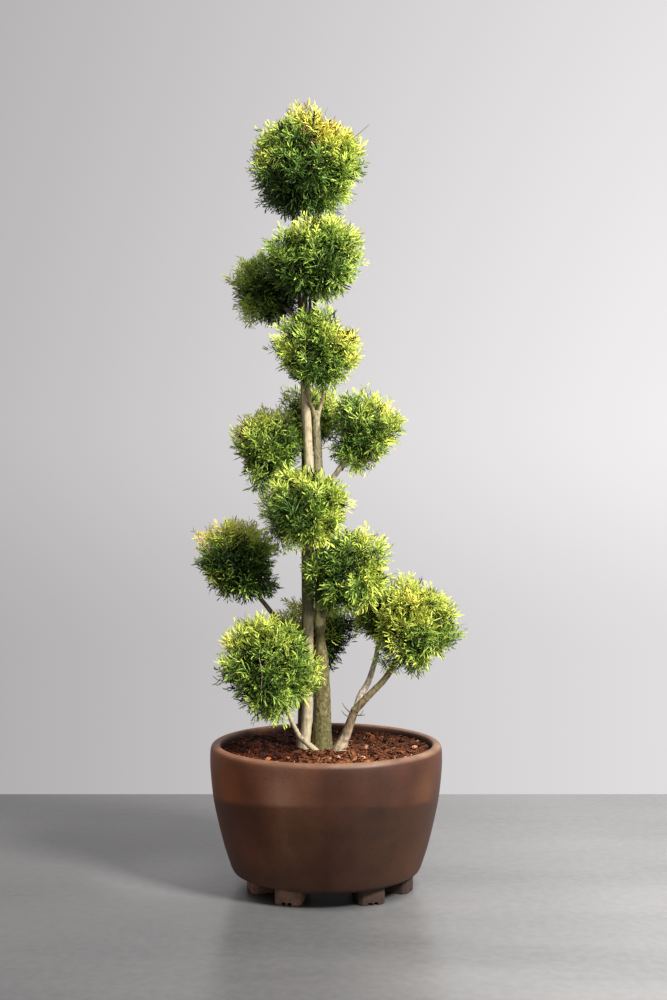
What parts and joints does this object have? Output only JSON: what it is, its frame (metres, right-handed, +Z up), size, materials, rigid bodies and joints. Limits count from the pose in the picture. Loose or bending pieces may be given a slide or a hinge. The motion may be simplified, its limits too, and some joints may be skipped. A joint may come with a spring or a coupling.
{
  "type": "potted golden leyland cypress pom-pom tree",
  "caption": "Multi-stemmed golden conifer clipped into round cushions at stepped heights, standing in a round brown earthenware pot raised on short feet.",
  "frame": {"origin": "on the ground, on the axis of the pot: the centre of the footprint of the whole part", "axes": "+Z up; -Y is the front, the side from which the forked low bough is on the right; +X to the right seen from the front"},
  "size_m": [0.6749, 0.6008, 2.021],
  "materials": {
    "pot": "satin brown earthenware, a lighter reddish band below the rim",
    "feet": "unglazed matt terracotta",
    "soil": "rough shredded red-brown bark mulch",
    "bark_smooth": "smooth pale beige bark with thin dark node rings",
    "bark_rough": "olive-brown bark that flakes in upright strips",
    "foliage": "dense scale-leaf sprays, dark green inside, yellow-green to gold at the outer tips"
  },
  "bodies": {
    "root": {"pot": "pot", "foot_left_1": "feet", "foot_left_2": "feet", "foot_left_3": "feet", "foot_left_4": "feet", "foot_right_1": "feet", "foot_right_2": "feet", "foot_right_3": "feet", "foot_right_4": "feet", "soil": "soil", "stem_left": "bark_smooth", "bough_low_left": "bark_smooth", "bough_low_right": "bark_smooth", "bough_low_right_inner": "bark_smooth", "stem_right": "bark_rough", "stem_back": "bark_rough", "fork_left": "bark_rough", "fork_right": "bark_rough", "bough_low_right_outer": "bark_rough", "bough_mid_left": "bark_rough", "bough_mid_right": "bark_rough", "bough_upper_left": "bark_rough", "bough_centre_right": "bark_rough", "bough_back_low": "bark_rough", "bough_back_mid": "bark_rough", "bough_back_top": "bark_rough", "mass_top": "foliage", "mass_upper_front": "foliage", "mass_upper_back": "foliage", "mass_neck_front": "foliage", "mass_middle_back": "foliage", "mass_middle_left": "foliage", "mass_middle_right": "foliage", "mass_centre_front": "foliage", "mass_lower_left": "foliage", "mass_centre_right": "foliage", "mass_low_right": "foliage", "mass_low_right_back": "foliage", "mass_low_left": "foliage", "mass_low_back": "foliage"}
  },
  "joints": []
}
